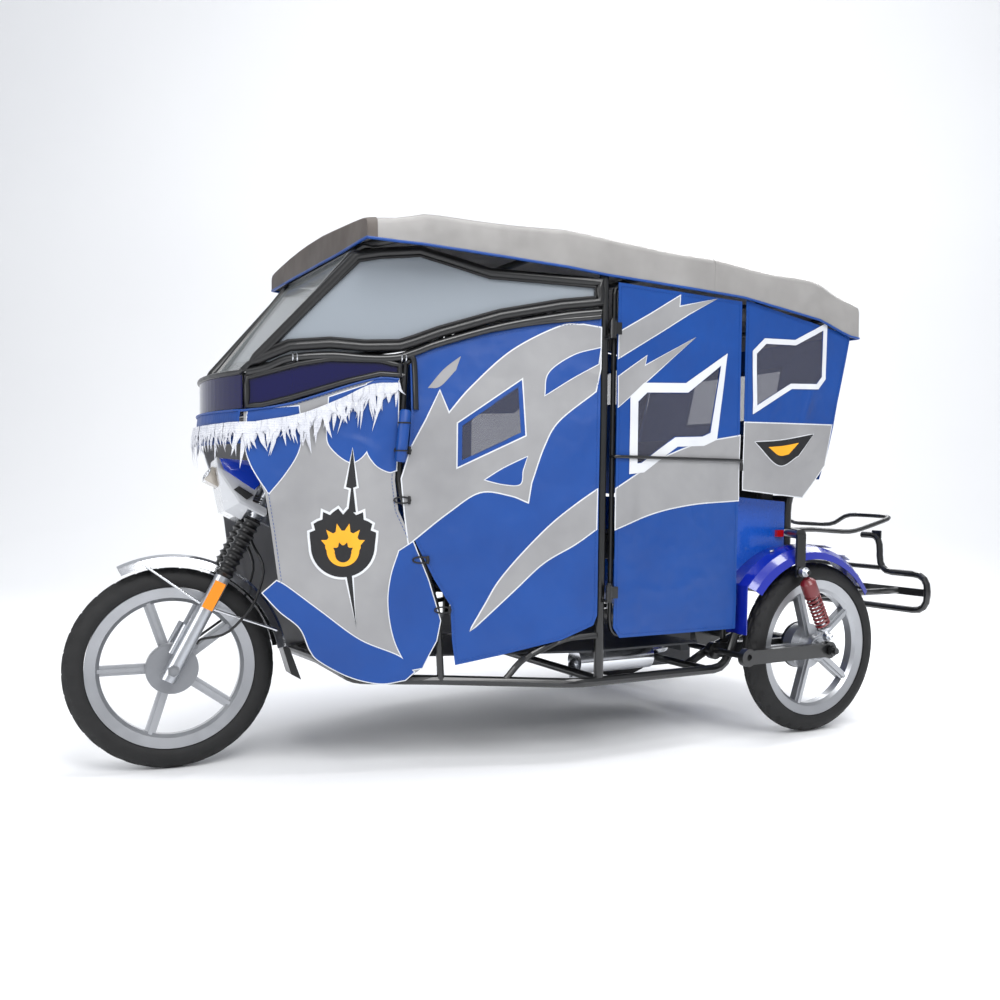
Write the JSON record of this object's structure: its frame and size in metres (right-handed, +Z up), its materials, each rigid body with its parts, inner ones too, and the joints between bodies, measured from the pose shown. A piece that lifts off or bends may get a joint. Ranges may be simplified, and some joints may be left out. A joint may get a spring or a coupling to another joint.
{
  "type": "three-wheeled auto rickshaw with canvas cabin",
  "caption": "Motorcycle-fronted auto rickshaw: spoked cast wheels, raked fork, tube frame, sewn canvas cabin with side doors, sprung rear wheels, rear rack and bumper.",
  "frame": {"origin": "on the ground, at the middle of the vehicle's overall length and width", "axes": "+Z up, -Y to the front, +X to the vehicle's left"},
  "size_m": [1.404, 2.9251, 1.628],
  "materials": {
    "black_tube": "semi-gloss black paint",
    "floor": "black chequered plate",
    "tub_paint": "gloss blue paint",
    "fender_paint": "gloss deep blue paint",
    "tank_paint": "gloss blue paint",
    "seat_vinyl": "black sewn vinyl",
    "engine_cast": "sand-cast alloy, dusty",
    "exhaust_chrome": "chromed steel",
    "spring_red": "dark red coil over bright steel",
    "glass": "clear pane",
    "smoked_glass": "lightly smoked pane",
    "tinted_glass": "deep violet-blue tint",
    "seal_rubber": "matt black rubber",
    "roof_vinyl": "silver-grey coated canvas",
    "apron_canvas": "silver and blue coated canvas",
    "side_canvas": "blue and silver coated canvas",
    "clear_vinyl": "clear flexible film",
    "lamp_red": "red lens",
    "fork_metal": "polished alloy legs, chromed tubes",
    "boot_rubber": "ribbed black rubber",
    "bar_black": "black bar and rubber grips",
    "nacelle_plastic": "white and silver moulding",
    "lamp_glass": "clear lens over bright reflector",
    "guard_chrome": "chromed steel",
    "flap_rubber": "matt black rubber",
    "axle_steel": "zinc plate and cast alloy",
    "reflector": "amber reflector",
    "cable_black": "black sheath",
    "tyre_rubber": "block tread",
    "cast_alloy": "silver lacquered casting"
  },
  "bodies": {
    "chassis": {"main_frame": "black_tube", "cabin_frame": "black_tube", "floor_pan": "floor", "passenger_tub": "tub_paint", "passenger_seat": "seat_vinyl", "passenger_backrest": "seat_vinyl", "driver_seat": "seat_vinyl", "fuel_tank": "tank_paint", "engine": "engine_cast", "exhaust": "exhaust_chrome", "rear_axle": "black_tube", "swing_arms": "black_tube", "shock_absorbers": "spring_red", "rear_fenders": "fender_paint", "luggage_rack": "black_tube", "rear_bumper": "black_tube", "windshield": "glass", "side_glass": "smoked_glass", "tinted_strip": "tinted_glass", "glazing_seals": "seal_rubber", "roof_canopy": "roof_vinyl", "front_aprons": "apron_canvas", "driver_canvases": "side_canvas", "quarter_canvases": "side_canvas", "rear_canvas": "side_canvas", "canvas_windows": "clear_vinyl", "tail_lamps": "lamp_red"},
    "steering": {"fork": "fork_metal", "fork_boots": "boot_rubber", "handlebar": "bar_black", "headlight_nacelle": "nacelle_plastic", "headlamp": "lamp_glass", "front_mudguard": "guard_chrome", "mud_flap": "flap_rubber", "front_axle": "axle_steel", "fork_reflectors": "reflector", "front_cables": "cable_black"},
    "front_wheel": {"front_tyre": "tyre_rubber", "front_rim": "cast_alloy"},
    "rear_left_wheel": {"rear_left_tyre": "tyre_rubber", "rear_left_rim": "cast_alloy"},
    "rear_right_wheel": {"rear_right_tyre": "tyre_rubber", "rear_right_rim": "cast_alloy"},
    "left_door": {"left_door_frame": "black_tube", "left_door_canvas": "side_canvas", "left_door_window": "clear_vinyl"},
    "right_door": {"right_door_frame": "black_tube", "right_door_canvas": "side_canvas", "right_door_window": "clear_vinyl"}
  },
  "joints": [
    {"name": "steering_turn", "type": "hinge", "parent": "chassis", "child": "steering", "pos_m": [0, -1.1308, 0.27622], "axis": [0, 0.4695, 0.8829], "range_deg": [-21.5, 38.5]},
    {"name": "front_wheel_spin", "type": "hinge", "parent": "steering", "child": "front_wheel", "pos_m": [-0.00591, -1.16573, 0.29479], "axis": [0.989, -0.1305, 0.0694], "continuous": true},
    {"name": "rear_left_wheel_spin", "type": "hinge", "parent": "chassis", "child": "rear_left_wheel", "pos_m": [0.572, 0.85988, 0.295], "axis": [1, 0, 0], "continuous": true},
    {"name": "rear_right_wheel_spin", "type": "hinge", "parent": "chassis", "child": "rear_right_wheel", "pos_m": [-0.572, 0.85988, 0.295], "axis": [1, 0, 0], "continuous": true},
    {"name": "left_door_hinge", "type": "hinge", "parent": "chassis", "child": "left_door", "pos_m": [0.584, -0.00312, 0.9], "axis": [0, 0, -1], "range_deg": [0, 100]},
    {"name": "right_door_hinge", "type": "hinge", "parent": "chassis", "child": "right_door", "pos_m": [-0.584, -0.00312, 0.9], "axis": [0, 0, 1], "range_deg": [0, 100]}
  ]
}
